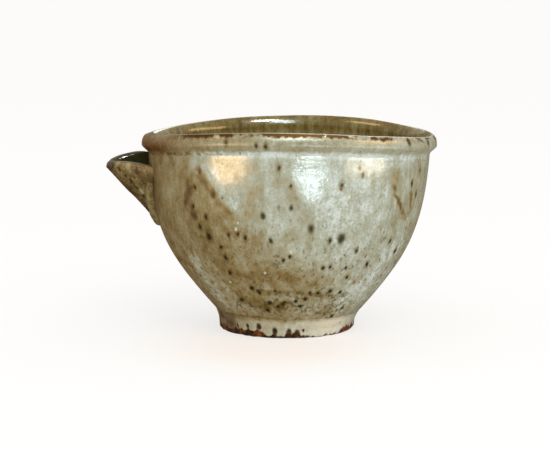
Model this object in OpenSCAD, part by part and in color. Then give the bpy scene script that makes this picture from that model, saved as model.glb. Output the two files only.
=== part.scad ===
// Katakuchi sake pourer: a thrown stoneware bowl with a rolled collar at the mouth, a luted-on
// foot ring, and a beak of clay luted over a pour hole in the wall, with a thin coil of soft clay
// pressed into each seam. Millimetres, +Z up, the table at z = 0 and the centre of the foot ring
// at the origin. The spout points along -X.

/* [Bowl] */
// height of the lip above the table, the mean of its low and high places
rim_h = 79.7; // [74:0.1:86]
// diameter over the collar, the mean of the mouth's long and short way
rim_d = 113.2; // [108:0.2:124]
// diameter of the neck, just under the collar
neck_d = 108.2; // [104:0.2:112]
// height of the collar, from the neck to the lip
collar_h = 12.2; // [10:0.2:14]
// thickness of the lip
lip_t = 4.6; // [3.6:0.1:5.4]
// thickness of the wall at the neck
wall = 4.6; // [3.8:0.1:5.6]
// thickness of the floor
floor_t = 6.5; // [5:0.1:8]
// steepness of the wall where it leaves the foot
belly_angle = 47.8; // [44:0.2:52]
// fullness of the lower belly
belly_pull = 29.5; // [24:0.5:33]
// fullness of the upper wall
shoulder_pull = 25.2; // [20:0.2:30]

/* [Rim warp] */
// how far the rim dips at the spout and opposite it, and rises in between
rim_dip = 2.2; // [0:0.1:3.4]
// how much further the mouth reaches along the spout than the mean radius
rim_oval = 2.3; // [0:0.1:3.6]
// turn of the dip and of the oval away from the spout
warp_turn = -6.5; // [-20:0.5:20]

/* [Foot] */
// outside diameter of the foot ring on the table
foot_d = 54; // [48:0.5:60]
// height of the foot ring
foot_h = 6; // [5:0.1:8]
// width of the foot ring across its tread
foot_w = 6.5; // [5:0.1:8]
// how far the foot ring widens from the table to the bowl
foot_flare = 0.3; // [0:0.1:0.8]
// how far the inside of the foot ring leans in from the table to the bowl
foot_lean = 1; // [0:0.1:2]
// rounding of the tread's two edges
foot_edge = 1; // [0.5:0.1:1.5]
// how far the bowl's axis stands off the centre of the foot ring
bowl_shift = 0.85; // [0:0.05:1.5]
// reach of the coil pressed into the seam above the foot ring
foot_coil_leg = 3; // [2.2:0.1:3.6]

/* [Spout] */
// reach of the spout's tip beyond the neck
spout_reach = 18.8; // [15:0.1:24]
// width of the spout where it meets the bowl
spout_w = 32; // [29:0.5:36]
// depth from the lip of the tip to where the keel meets the bowl
spout_depth = 24.6; // [22:0.2:28]
// drop from the rim to the lip of the tip
spout_drop = 13.1; // [12:0.1:15]
// thickness of the spout's wall along its length
spout_t = 4.5; // [3.8:0.1:5.2]
// rise of the spout's lip between its tip and the bowl
lip_arch = 2.8; // [0:0.1:3.4]
// slant of the spout's lip from one side to the other
lip_slant = 4.5; // [0:0.5:8]
// how sharply the spout comes to its point
beak = 3; // [1.5:0.1:5]
// radius of the coil pressed into the spout's seam
spout_coil_r = 2.2; // [1.8:0.1:2.8]

/* [Pour hole] */
// diameter of the hole through the wall behind the spout
hole_d = 10; // [7:0.5:11]
// height of the hole's centre above the foot of the keel
hole_rise = 17.8; // [17:0.2:18.6]

/* [Hidden] */
// facets round the bowl
steps = 72;
turn = 360 / steps;

// radii and heights of the bowl's own places
neck_r = neck_d / 2;
rim_r = rim_d / 2;
base_r = foot_d / 2 + foot_flare;
floor_z = foot_h + floor_t;
neck_z = rim_h - collar_h;
lip_r = lip_t / 2;
lip_flat = 0.9;
lip_z = rim_h - lip_flat * lip_r;

// how far the collar's curve runs on upright from the neck before it swings out
collar_pull = 0.42 * collar_h;
// where the inside of the wall takes over from the mouth, and how its curve pulls down to the floor
inner_z = neck_z - 0.1 * collar_h;
inner_pull = 0.9 * shoulder_pull;
floor_pull = 0.78 * neck_r;

bare = [0.52, 0.40, 0.28];
glazed = [0.73, 0.73, 0.62];
glazed_dark = [0.62, 0.55, 0.40];

// point at t on the curve that leaves a toward b and reaches d from c
function curve(a, b, c, d, t) =
  pow(1 - t, 3) * a + 3 * pow(1 - t, 2) * t * b + 3 * (1 - t) * t * t * c + pow(t, 3) * d;

// outside of the wall, from the seat of the foot ring to the neck
belly = [
  for (i = [0 : 20])
    curve(
      [base_r, foot_h],
      [base_r + belly_pull * cos(belly_angle), foot_h + belly_pull * sin(belly_angle)],
      [neck_r, neck_z - shoulder_pull],
      [neck_r, neck_z],
      i / 20
    )
];

// outside of the collar, from the neck to the turn of the lip
collar = [
  for (i = [1 : 8])
    curve(
      [neck_r, neck_z],
      [neck_r, neck_z + collar_pull],
      [rim_r, neck_z + collar_pull],
      [rim_r, lip_z],
      i / 8
    )
];

// lip, rolled over from the outside to the inside
lip = [
  for (a = [30 : 30 : 180])
    [rim_r - lip_r + lip_r * cos(a), lip_z + lip_flat * lip_r * sin(a)]
];

// inside of the wall, from the lip down to the neck and on to the middle of the floor
mouth = [
  for (i = [1 : 3])
    [rim_r - lip_t, lip_z] * (1 - i / 3) + [neck_r - wall, inner_z] * i / 3
];
cavity = [
  for (i = [1 : 13])
    curve(
      [neck_r - wall, inner_z],
      [neck_r - wall, inner_z - inner_pull],
      [floor_pull, floor_z],
      [0, floor_z],
      i / 14
    )
];

outside = concat(belly, collar);
section = concat(outside, lip, mouth, cavity);

// share of the rim's warp at height z, and its swing at angle a round the bowl
function share(z) = pow(max(0, (z - foot_h) / (rim_h - foot_h)), 1.5);
function swing(a) = cos(2 * (a - warp_turn));

// point of the warped bowl at angle a, for a radius and height of the true round one
function thrown(p, a) =
  let (r = p[0] + rim_oval * share(p[1]) * swing(a))
    [r * cos(a), r * sin(a), p[1] - rim_dip * share(p[1]) * swing(a)];

// ring of points round the warped bowl
function round_bowl(p) = [for (i = [0 : steps - 1]) thrown(p, i * turn)];

// radius of the outside of the wall at height z
function wall_r(z) = lookup(z, [for (p = outside) [p[1], p[0]]]);

// triangles between rings of n points, m rings in all
function sleeve(n, m) = [
  for (j = [0 : m - 2], i = [0 : n - 1])
    let (a = j * n + i, b = j * n + (i + 1) % n)
      each [[a, a + n, b], [b, a + n, b + n]]
];

// solid through a list of rings, each closed by a fan to its middle
module skin(rings) {
  n = len(rings[0]);
  m = len(rings);
  points = [for (r = rings) each r];
  middles = [for (r = [rings[0], rings[m - 1]]) [for (p = r) 1] * r / n];
  caps = [
    for (i = [0 : n - 1])
      each [[i, (i + 1) % n, n * m], [(m - 1) * n + (i + 1) % n, (m - 1) * n + i, n * m + 1]]
  ];
  polyhedron(concat(points, middles), concat(sleeve(n, m), caps));
}

// the thrown bowl before the pour hole is cut
module thrown_bowl() {
  skin([for (p = section) round_bowl(p)]);
}

// reach of the spout's tip and sides from the bowl's axis, and heights of its tip and keel
tip_u = neck_r + spout_reach;
tip_z = rim_h - spout_drop;
keel_z = tip_z - spout_depth;
keel_u = wall_r(keel_z);
side_u = tip_u - sqrt(pow(neck_r, 2) - pow(spout_w / 2, 2));

// half the keel's width at its root, and the keel's thickness measured upright
keel_half = 2.5;
keel_t = 1.1 * spout_t;
// share of the spout's depth that its faces run on into the wall before they are cut to it
root_run = 0.16;
// how far past its seam, at 1, each side of the spout runs on before it is cut to the wall
side_run = 1.2;
// how much narrower the inside of the spout's lip is on each side
lip_inset = 0.4 * spout_t;
// angle that the arch of the lip turns through between the tip and the bowl
arch_span = 171;

// how far the lip has drawn back from the tip at g, 0 at the tip and 1 at the bowl
function drawn(g) = (sqrt(1 + pow(beak * g, 2)) - 1) / (sqrt(1 + beak * beak) - 1);

// height of the spout's lip at g
function lip_at(g) =
  tip_z + lip_arch * sin(min(180, arch_span * abs(g))) + spout_w / 2 * g * tan(lip_slant);

// outer and inner edges of the lip at g, and the roots of both faces inside the wall
function outer_edge(g) = [-(tip_u - side_u * drawn(g)), spout_w / 2 * g, lip_at(g) - spout_t / 2];
function inner_edge(g) =
  [-(tip_u - spout_t - side_u * drawn(g)), (spout_w / 2 - lip_inset) * g, lip_at(g) - spout_t / 2];
function outer_root(g) = [
  -(keel_u - root_run * (tip_u - keel_u)),
  keel_half * g,
  keel_z - root_run * (spout_depth - spout_t / 2)
];
function inner_root(g) = outer_root(g) + [0, 0, keel_t];

// section through the spout's wall at g, from its outer root over the lip to its inner root
function beak_ring(g) =
  let (
    a = outer_root(g), b = outer_edge(g), c = inner_edge(g), d = inner_root(g),
    mid = (b + c) / 2, half = (b - c) / 2
  )
    concat(
      [for (t = [0 : 0.25 : 1]) a + (b - a) * t],
      [for (w = [30 : 30 : 150]) mid + half * cos(w) + [0, 0, spout_t / 2 * sin(w)]],
      [for (t = [0 : 0.25 : 1]) c + (d - c) * t]
    );

module beak_shell() {
  skin([for (i = [-20 : 20]) beak_ring(side_run * i / 20)]);
}

// block of the bowl's wall behind the spout: its true outside, back to inside the spout's own ends
block_r = norm([for (i = [0, 1]) inner_edge(side_run)[i]]) - wall / 2;
block_z = outer_root(0)[2] - 2 * wall;
block_turns = ceil(asin(side_run * spout_w / neck_d) / turn) + 2;
module wall_block() {
  face = [for (p = outside) if (p[1] > block_z) p];
  back = [[block_r, rim_h], [block_r, face[0][1]]];
  skin([
    for (i = [block_turns : -1 : -block_turns])
      [for (p = concat(face, back)) thrown(p, 180 + i * turn)]
  ]);
}

// how far the seam's coil stands off the wall, hangs below the keel and stops short of the lip
coil_proud = 0.3;
coil_drop = 0.8;
coil_short = 0.7 * spout_t;
// direction that the coil's section is laid square to, and how much it thins at its two top ends
coil_lay = [0.95, 0, 0.3];
coil_thin = 0.4;

// middle of the spout's seam at s, -1 and 1 at its two top ends and 0 under the keel
function seam(s) =
  let (
    low = keel_z - coil_drop,
    z = low + (lip_at(s) - coil_short - low) * drawn(s),
    v = spout_w / 2 * s,
    r = wall_r(z) + rim_oval * share(z) * swing(180)
  )
    [-sqrt(r * r - v * v) - coil_proud, v, z];

// ring of the coil at s, square to the seam
function coil_ring(s) =
  let (
    t = seam(s + 0.01) - seam(s - 0.01),
    along = t / norm(t),
    out = cross(along, coil_lay),
    side = out / norm(out),
    up = cross(side, along),
    r = spout_coil_r * (1 - coil_thin * pow(abs(s), 6))
  )
    [for (w = [0 : 45 : 315]) seam(s) + r * (cos(w) * side + sin(w) * up)];

module bowl() {
  color(glazed) translate([bowl_shift, 0, 0]) difference() {
    thrown_bowl();
    translate([0, 0, keel_z + hole_rise]) rotate([0, -90, 0])
      cylinder(h = tip_u, d = hole_d, $fn = 48);
  }
}

// outline of the foot ring: tread at the table, seat under the bowl
module foot_section() {
  r = foot_d / 2;
  e = foot_edge;
  polygon(concat(
    [for (a = [180 : 15 : 270]) [r - foot_w + e + e * cos(a), e + e * sin(a)]],
    [for (a = [270 : 15 : 360]) [r - e + e * cos(a), e + e * sin(a)]],
    [[base_r, foot_h], [r - foot_w - foot_lean, foot_h]]
  ));
}

module foot_ring() {
  color(bare) rotate_extrude($fn = 72) foot_section();
}

// outline of the coil over the foot ring's seam: it feathers out down the ring and up the belly
coil_skim = 0.45;
module coil_section() {
  l = foot_coil_leg;
  along = [cos(belly_angle), sin(belly_angle)];
  low = [coil_skim, -l];
  high = [0.86 * l + coil_skim, 0.95 * l];
  inside = -foot_w / 3;
  polygon(concat(
    [for (t = [0 : 0.125 : 1]) curve(low, [coil_skim, -0.35 * l], high - 0.85 * l * along, high, t)],
    [[inside, high[1]], [inside, -l]]
  ));
}

module foot_coil() {
  color(glazed) difference() {
    translate([bowl_shift / 2, 0, foot_h]) rotate_extrude($fn = 144) translate([base_r, 0]) coil_section();
    rotate_extrude($fn = 144) foot_section();
    translate([bowl_shift, 0, 0])
      skin([for (p = belly) if (p[1] < foot_h + 4 * foot_coil_leg) round_bowl(p)]);
  }
}

module spout() {
  color(glazed_dark) translate([bowl_shift, 0, 0]) difference() {
    beak_shell();
    wall_block();
  }
}

module spout_coil() {
  color(glazed_dark) translate([bowl_shift, 0, 0]) difference() {
    skin([for (s = [-1.04 : 0.065 : 1.041]) coil_ring(s)]);
    wall_block();
    beak_shell();
  }
}

bowl();
foot_ring();
foot_coil();
spout();
spout_coil();
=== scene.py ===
# %% [markdown]
# A katakuchi is a lipped bowl for pouring sake: a thrown stoneware bowl, a beak of clay luted over a
# hole in its wall, a foot ring under it, and a thin coil of clay pressed into each seam. The pieces
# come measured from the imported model. Here each one is modelled again with a smooth skin, and then
# the glaze, which is most of what the eye sees, is worked out on top.

# %% The frame
import math
from contextlib import contextmanager
from functools import reduce

import bmesh
import bpy
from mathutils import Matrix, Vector


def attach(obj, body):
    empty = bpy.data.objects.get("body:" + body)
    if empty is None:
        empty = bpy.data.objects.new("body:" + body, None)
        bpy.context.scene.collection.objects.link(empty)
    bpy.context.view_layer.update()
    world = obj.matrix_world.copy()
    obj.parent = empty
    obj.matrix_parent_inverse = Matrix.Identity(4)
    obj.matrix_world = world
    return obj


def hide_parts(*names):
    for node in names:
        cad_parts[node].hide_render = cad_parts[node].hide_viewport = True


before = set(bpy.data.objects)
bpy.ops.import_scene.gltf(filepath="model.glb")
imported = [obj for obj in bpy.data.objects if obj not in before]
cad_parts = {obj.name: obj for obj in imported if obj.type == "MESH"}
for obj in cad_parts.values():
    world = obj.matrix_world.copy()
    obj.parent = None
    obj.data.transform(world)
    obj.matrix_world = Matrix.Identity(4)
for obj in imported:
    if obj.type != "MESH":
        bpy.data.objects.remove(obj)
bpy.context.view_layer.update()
MM = 0.001

# %% [markdown]
# The camera comes first, because marks on the glaze are placed by looking through it. It stands a
# little above the lip and looks slightly down, from far enough away that the bowl hardly tapers.
# A long lens does that, and no shift is needed.

# %% The camera
IMAGE_SIZE = (550, 450)
SENSOR_WIDTH = 36.0
CAMERA_PLACE = Vector((0.0, -0.640, 0.126))
CAMERA_AIM = Vector((-0.0047, 0.0, 0.0409))
CAMERA_LENS = 105.4

bpy.ops.object.select_all(action="DESELECT")
view_turn = (CAMERA_AIM - CAMERA_PLACE).to_track_quat("-Z", "Y")
bpy.ops.object.camera_add(location=CAMERA_PLACE, rotation=view_turn.to_euler())
camera = bpy.context.object
camera.data.sensor_width = SENSOR_WIDTH
camera.data.lens = CAMERA_LENS
bpy.context.scene.camera = camera


def sight_line(pixel):
    """Direction from the camera through a pixel of the image."""
    focal = CAMERA_LENS / SENSOR_WIDTH * IMAGE_SIZE[0]
    across = (pixel[0] - IMAGE_SIZE[0] / 2) / focal
    up = (IMAGE_SIZE[1] / 2 - pixel[1]) / focal
    return (view_turn @ Vector((across, up, -1.0))).normalized()


print("camera at", CAMERA_PLACE[:], "lens", CAMERA_LENS)

# %% [markdown]
# Everything is modelled the way a hand does it in the window: one object is picked, an operator is
# pressed, a modifier is added and applied. A few small helpers keep that short.

# %% Helpers for working by hand
DOUBLE_GAP = 0.005


def pick(piece):
    """Deselects everything and makes one object the selected, active one."""
    bpy.ops.object.select_all(action="DESELECT")
    piece.select_set(True)
    bpy.context.view_layer.objects.active = piece


def press(piece, kind, **settings):
    """Adds a modifier to a piece, sets it and applies it."""
    pick(piece)
    bpy.ops.object.modifier_add(type=kind)
    modifier = piece.modifiers[-1]
    for name, value in settings.items():
        setattr(modifier, name, value)
    bpy.ops.object.modifier_apply(modifier=modifier.name)


def choose(piece, test, kind="verts"):
    """In edit mode, selects the vertices, edges or faces that pass a test, and nothing else."""
    bpy.ops.mesh.select_all(action="DESELECT")
    work = bmesh.from_edit_mesh(piece.data)
    for element in getattr(work, kind):
        if test(element):
            element.select_set(True)
    work.select_flush_mode()
    bmesh.update_edit_mesh(piece.data)


def draw_line(name, knots, steps, closed=False):
    """Draws a Bezier line. A knot is a place in mm, or a place with its two handles."""
    bpy.ops.object.select_all(action="DESELECT")
    bpy.ops.curve.primitive_bezier_curve_add()
    line = bpy.context.object
    line.name = name
    line.data.dimensions = "3D"
    line.data.resolution_u = steps
    spline = line.data.splines[0]
    spline.use_cyclic_u = closed
    spline.bezier_points.add(len(knots) - len(spline.bezier_points))
    for point, knot in zip(spline.bezier_points, knots):
        place, handles = (knot[0], knot[1:]) if isinstance(knot[0], (tuple, Vector)) else (knot, None)
        point.handle_left_type = point.handle_right_type = "FREE" if handles else "AUTO"
        point.co = Vector(place) * MM
        if handles:
            point.handle_left = Vector(handles[0]) * MM
            point.handle_right = Vector(handles[1]) * MM
    return line


def straight(*places):
    """Knots joined by straight lines."""
    return [(p, p, p) for p in places]


def make_mesh(piece):
    """Turns a drawn line into a mesh."""
    pick(piece)
    bpy.ops.object.convert(target="MESH")


@contextmanager
def editing(piece):
    """Edit mode on one piece while a block lasts, with all of it selected at first."""
    pick(piece)
    bpy.ops.object.mode_set(mode="EDIT")
    bpy.ops.mesh.select_all(action="SELECT")
    yield
    bpy.ops.object.mode_set(mode="OBJECT")


def close_up(piece):
    """Merges what lies double and turns every face outwards."""
    with editing(piece):
        bpy.ops.mesh.remove_doubles(threshold=DOUBLE_GAP * MM)
        bpy.ops.mesh.normals_make_consistent(inside=False)


def throw(name, section, steps, turns, middle=(0, 0, 0), axis=(0, 0, 1), closed=False):
    """Draws a section and spins it round an axis through a place in mm, as the wheel does."""
    piece = draw_line(name, section, steps, closed)
    make_mesh(piece)
    with editing(piece):
        centre = [c * MM for c in middle]
        bpy.ops.mesh.spin(steps=turns, angle=2 * math.pi, center=centre, axis=axis)
    close_up(piece)
    return piece


def hand_marks(piece, size, depth):
    """Lets the surface swell and sink softly, as fingers leave it: size and depth in mm."""
    texture = bpy.data.textures.new(piece.name + "_marks", "CLOUDS")
    texture.noise_scale = size * MM
    texture.noise_depth = 1
    press(piece, "DISPLACE", texture=texture, texture_coords="LOCAL", strength=depth * MM, mid_level=0.5)
    bpy.data.textures.remove(texture)


print("helpers ready")

# %% [markdown]
# The bowl is thrown in one piece with its collar. It could be carved from a ball by sculpting, but a
# thrown wall is a section turned round an axis, so the section is drawn as a Bezier line, with the
# sizes of the measured model, and spun. From the neck to the collar the line swings through a soft S,
# which makes the crease under the collar.

# %% The bowl's sizes, in mm
BOWL_AXIS = 0.85
RIM_H, RIM_R, NECK_R, COLLAR_H = 79.7, 56.6, 54.1, 12.2
LIP_T, LIP_FLAT, WALL, FLOOR_T = 4.6, 0.9, 4.6, 6.5
BELLY_ANGLE, BELLY_PULL, SHOULDER_PULL = math.radians(47.8), 29.5, 25.2
FOOT_R, FOOT_H, FOOT_FLARE = 27.0, 6.0, 0.3
NECK_Z = RIM_H - COLLAR_H
LIP_R = LIP_T / 2
LIP_Z = RIM_H - LIP_FLAT * LIP_R
BASE_R = FOOT_R + FOOT_FLARE
FLOOR_Z = FOOT_H + FLOOR_T
CREASE_LOW, CREASE_MID = NECK_Z + 4.0, NECK_Z + 5.4
CREASE_PULL, CREASE_LEAN, NECK_LEAN = 1.6, 0.05, 0.6
WIDEST_Z, WIDEST_LOW, WIDEST_HIGH = LIP_Z - 2.1, CREASE_MID + 1.2, LIP_Z + 0.2
MOUTH_R, MOUTH_Z, MOUTH_LOW, MOUTH_HIGH = RIM_R - LIP_T - 0.3, LIP_Z - 2.0, LIP_Z - 7.0, LIP_Z - 0.4
INNER_Z = NECK_Z - 0.1 * COLLAR_H
INNER_HIGH, INNER_LOW = INNER_Z + 2, INNER_Z - 0.9 * SHOULDER_PULL
FLOOR_SPREAD = 0.78 * NECK_R
ROUND = 0.5523


def at(radius, height):
    """Place on the bowl's section, to the right of its axis."""
    return (BOWL_AXIS + radius, 0.0, height)


bowl_section = [
    (at(0, FOOT_H), at(0, FOOT_H), at(BASE_R / 2, FOOT_H)),
    (
        at(BASE_R, FOOT_H),
        at(BASE_R / 2, FOOT_H),
        at(BASE_R + BELLY_PULL * math.cos(BELLY_ANGLE), FOOT_H + BELLY_PULL * math.sin(BELLY_ANGLE)),
    ),
    (
        at(NECK_R, CREASE_LOW),
        at(NECK_R - NECK_LEAN, NECK_Z - SHOULDER_PULL),
        at(NECK_R + CREASE_LEAN, CREASE_LOW + CREASE_PULL),
    ),
    (at(RIM_R, WIDEST_Z), at(RIM_R, WIDEST_LOW), at(RIM_R, WIDEST_HIGH)),
    (
        at(RIM_R - LIP_R, RIM_H),
        at(RIM_R - LIP_R + ROUND * LIP_R, RIM_H),
        at(RIM_R - LIP_R - ROUND * LIP_R, RIM_H),
    ),
    (at(MOUTH_R, MOUTH_Z), at(MOUTH_R, MOUTH_HIGH), at(MOUTH_R, MOUTH_LOW)),
    (at(NECK_R - WALL, INNER_Z), at(NECK_R - WALL, INNER_HIGH), at(NECK_R - WALL, INNER_LOW)),
    (at(0, FLOOR_Z), at(FLOOR_SPREAD, FLOOR_Z), at(0, FLOOR_Z)),
]
bowl = throw("bowl", bowl_section, steps=28, turns=240, middle=(BOWL_AXIS, 0, 0))
print("bowl:", len(bowl.data.vertices), "vertices")

# %% [markdown]
# Before the bowl is bent, each vertex notes how high it stood on the wheel and whether it is on the
# inside. The glaze could read the bare height later, but its bands would then run level across a rim
# that dips. With these notes they follow the clay when it goes out of true.

# %% Notes for the glaze
def note(piece, name, values):
    """Writes one number per vertex that a material can read."""
    attribute = piece.data.attributes.new(name, "FLOAT", "POINT")
    attribute.data.foreach_set("value", values)


def is_inside(vertex):
    """True on the inside of the wall and on the floor of the bowl."""
    outward = vertex.normal.x * (vertex.co.x - BOWL_AXIS * MM) + vertex.normal.y * vertex.co.y
    return outward < 0 or (vertex.normal.z > 0.3 and vertex.co.z < NECK_Z * MM)


note(bowl, "rise", [v.co.z / MM for v in bowl.data.vertices])
note(bowl, "inside", [1.0 if is_inside(v) else 0.0 for v in bowl.data.vertices])
print("inside vertices:", sum(is_inside(v) for v in bowl.data.vertices))

# %% [markdown]
# A thrown rim leaves true when the wet bowl is lifted: here it dips at the spout and opposite it, and
# the mouth is a little longer that way. Proportional editing could pull it about, but a lattice cage
# bends the whole wall evenly, more at the rim than at the foot, so the cage's points carry the warp.
# The flank under the spout is also a millimetre fuller than the round section.

# %% The warp
RIM_DIP, RIM_OVAL, WARP_TURN = 2.2, 2.3, math.radians(-6.5)
SWELL, SWELL_Z, SWELL_REACH = 1.1, 34.0, 20.0
CAGE_POINTS = 11
CAGE_LOW, CAGE_SIZE = Vector((-95, -95, -20)), Vector((190, 190, 125))


def warp_at(place):
    """How far the wet clay has moved at a place of the true round bowl, in mm."""
    share = max(0.0, (place.z - FOOT_H) / (RIM_H - FOOT_H)) ** 1.5
    x, y = place.x - BOWL_AXIS, place.y
    along = x * math.cos(WARP_TURN) + y * math.sin(WARP_TURN)
    across = y * math.cos(WARP_TURN) - x * math.sin(WARP_TURN)
    longer, shorter = along * RIM_OVAL / RIM_R * share, -across * RIM_OVAL / RIM_R * share
    fuller = SWELL * math.exp(-(((place.z - SWELL_Z) / SWELL_REACH) ** 2)) * min(0.0, x / NECK_R)
    return Vector((
        longer * math.cos(WARP_TURN) - shorter * math.sin(WARP_TURN) + fuller,
        longer * math.sin(WARP_TURN) + shorter * math.cos(WARP_TURN),
        -RIM_DIP * share * (along ** 2 - across ** 2) / RIM_R ** 2,
    ))


bpy.ops.object.select_all(action="DESELECT")
bpy.ops.object.add(type="LATTICE", location=(CAGE_LOW + CAGE_SIZE / 2) * MM)
cage = bpy.context.object
cage.scale = CAGE_SIZE * MM
cage.data.points_u = cage.data.points_v = cage.data.points_w = CAGE_POINTS
for point in cage.data.points:
    rest = CAGE_LOW + CAGE_SIZE / 2 + point.co * CAGE_SIZE
    moved = warp_at(rest)
    point.co_deform = point.co + Vector([m / s for m, s in zip(moved, CAGE_SIZE)])
press(bowl, "LATTICE", object=cage)
bpy.data.objects.remove(cage)
hand_marks(bowl, size=34, depth=0.6)
hand_marks(bowl, size=11, depth=0.12)
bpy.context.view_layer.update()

# %% [markdown]
# The spout is cut to the outside of the wall, so a blank is needed: the bowl with its hollow filled.
# A plain cone could stand in for it, but only a copy has the warp and the finger marks of this wall. So
# it is a copy of the bowl whose inside faces are deleted and whose mouth is closed by one face.

# %% The blank
pick(bowl)
bpy.ops.object.duplicate()
blank = bpy.context.object
blank.name = "blank"
inside_note = [d.value for d in bowl.data.attributes["inside"].data]
with editing(blank):
    choose(blank, lambda v: inside_note[v.index] > 0.5)
    bpy.ops.mesh.delete(type="VERT")
    bpy.ops.mesh.select_all(action="SELECT")
    bpy.ops.mesh.fill_holes(sides=0)
close_up(blank)
print("blank:", len(blank.data.polygons), "faces")

# %% [markdown]
# The sake leaves the bowl through a hole in the wall behind the spout. Faces could be deleted and the
# gap bridged, but a boolean keeps the wall closed and its hole round. The tool that it cuts with flares
# at both ends, because wet clay and glaze leave no sharp edge.

# %% The pour hole
TIP_Z, SPOUT_DEPTH, HOLE_R, HOLE_RISE = RIM_H - 13.1, 24.6, 5.0, 17.8
KEEL_Z = TIP_Z - SPOUT_DEPTH
HOLE_FLARE, DRILL_HALF = 1.6, 7.0
HOLE_X, HOLE_Z = BOWL_AXIS - NECK_R + WALL / 2, KEEL_Z + HOLE_RISE
HOLE_TOP = HOLE_Z + HOLE_R
drill_half = [
    (DRILL_HALF, HOLE_Z),
    (DRILL_HALF, HOLE_TOP + 4 * HOLE_FLARE),
    (WALL / 2, HOLE_TOP + HOLE_FLARE / 3),
]
drill_line = [(-x, z) for x, z in drill_half] + [(0, HOLE_TOP)] + drill_half[::-1]
places = [(HOLE_X + x, 0.0, z) for x, z in drill_line]
drill_section = straight(*places[:2]) + places[2:-2] + straight(*places[-2:])
drill = throw("drill", drill_section, steps=8, turns=48, middle=(0, 0, HOLE_Z), axis=(1, 0, 0))
press(bowl, "BOOLEAN", object=drill, operation="DIFFERENCE", solver="EXACT")
bpy.data.objects.remove(drill)
print("bowl with its pour hole:", len(bowl.data.polygons), "faces")

# %% [markdown]
# The spout is a beak: a sheet folded round a keel. It could be bent from a plane, but its lip is the line
# that the eye follows, so that comes first. It is drawn as one line from side to side, and extruded over
# the rounded edge and down both faces to the root inside the wall. Each extruded row is the row before
# it, moved and narrowed.

# %% The spout
SPOUT_HALF, SPOUT_T, SPOUT_REACH = 16.0, 4.5, 18.8
NEAR_ARCH, FAR_ARCH, LIP_SLANT, BEAK = 1.0, 2.5, math.radians(4.5), 3.0
ARCH_SPAN = math.radians(171)
KEEL_HALF, KEEL_T, LIP_INSET = 2.5, 1.1 * SPOUT_T, 0.4 * SPOUT_T
KEEL_ROOT = Vector((-46.0, 0.0, 35.9))
TIP_U = NECK_R + SPOUT_REACH
SIDE_U = TIP_U - math.sqrt(NECK_R ** 2 - SPOUT_HALF ** 2)
LIP_STATIONS = (-1.2, -0.9, -0.6, -0.35, -0.16, 0.0, 0.16, 0.35, 0.6, 0.9, 1.2)


def drawn(g):
    """How far the lip has drawn back from the tip at g: 0 at the tip, 1 at the bowl."""
    return (math.sqrt(1 + (BEAK * g) ** 2) - 1) / (math.sqrt(1 + BEAK ** 2) - 1)


def lip_at(g):
    """Height of the spout's lip at g."""
    arch = (NEAR_ARCH if g < 0 else FAR_ARCH) * math.sin(min(math.pi, ARCH_SPAN * abs(g)))
    return TIP_Z + arch + SPOUT_HALF * g * math.tan(LIP_SLANT)


def lip_place(g):
    """Outer edge of the spout's lip at g, in mm."""
    return Vector((BOWL_AXIS - TIP_U + SIDE_U * drawn(g), SPOUT_HALF * g, lip_at(g) - SPOUT_T / 2))


spout = draw_line("spout", [lip_place(g) for g in LIP_STATIONS], steps=8)
make_mesh(spout)
row_size = len(spout.data.vertices)


def extrude_row(move, narrow):
    """Extrudes the selected row by a move in mm and narrows it."""
    bpy.ops.mesh.extrude_region_move(TRANSFORM_OT_translate={"value": Vector(move) * MM})
    bpy.ops.transform.resize(value=(1, narrow, 1), center_override=(0, 0, 0))


def extrude_to_root(place, half_width):
    """Extrudes the selected row down to a short upright line of the keel's root."""
    bpy.ops.mesh.extrude_region_move(TRANSFORM_OT_translate={"value": (0, 0, 0)})
    bpy.ops.transform.resize(value=(0, KEEL_HALF / half_width, 0), center_override=place * MM)


ROUND_STEPS = 6
place_before, width_before = Vector((0, 0, 0)), SPOUT_HALF
with editing(spout):
    for step in range(1, ROUND_STEPS + 1):
        turn = math.pi * step / ROUND_STEPS
        place = Vector((SPOUT_T / 2 * (1 - math.cos(turn)), 0, SPOUT_T / 2 * math.sin(turn)))
        width = SPOUT_HALF - LIP_INSET * (1 - math.cos(turn)) / 2
        extrude_row(place - place_before, width / width_before)
        place_before, width_before = place, width
    extrude_to_root(KEEL_ROOT + Vector((0, 0, KEEL_T)), SPOUT_HALF - LIP_INSET)
    choose(spout, lambda v: v.index < row_size)
    extrude_to_root(KEEL_ROOT, SPOUT_HALF)
row_insides = [0.0, 0.0, 0.1, 0.5, 0.9, 1.0, 1.0, 1.0, 0.0]
note(spout, "inside", [row_insides[v.index // row_size] for v in spout.data.vertices])
print("spout rows:", len(spout.data.vertices) / row_size)

# %% [markdown]
# The long edges from the lip to the root are cut into short ones, so that the finger marks have something
# to move, and the open ends are closed. The beak could stay sunk in the wall, but a luted spout ends where
# the wall begins, so the blank is taken away from it.

# %% Fitting the spout
LONG_EDGE, EDGE_CUTS = 10, 11
with editing(spout):
    choose(spout, lambda e: e.calc_length() > LONG_EDGE * MM, kind="edges")
    bpy.ops.mesh.subdivide(number_cuts=EDGE_CUTS)
    choose(spout, lambda e: e.is_boundary, kind="edges")
    bpy.ops.mesh.fill_holes(sides=0)
close_up(spout)
hand_marks(spout, size=9, depth=0.7)
press(spout, "BOOLEAN", object=blank, operation="DIFFERENCE", solver="EXACT")
print("spout:", len(spout.data.polygons), "faces")

# %% [markdown]
# The roll of clay along the spout's seam is a bead that a thumb has smeared thin under the keel. The edge
# that the boolean left could be followed, but its steps are uneven, so the seam is found by looking from
# the lip towards the root until the wall is met. A curve through those places gets a round section, thick
# at the sides and thin at the keel and at its two top ends.

# %% The spout's coil
COIL_R, COIL_PROUD, COIL_SHOWS = 3.2, 1.3, 0.9
SEAM_STATIONS = [i / 8 * 0.9 for i in range(-8, 9)]
LIP_STEP = 0.05


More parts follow.
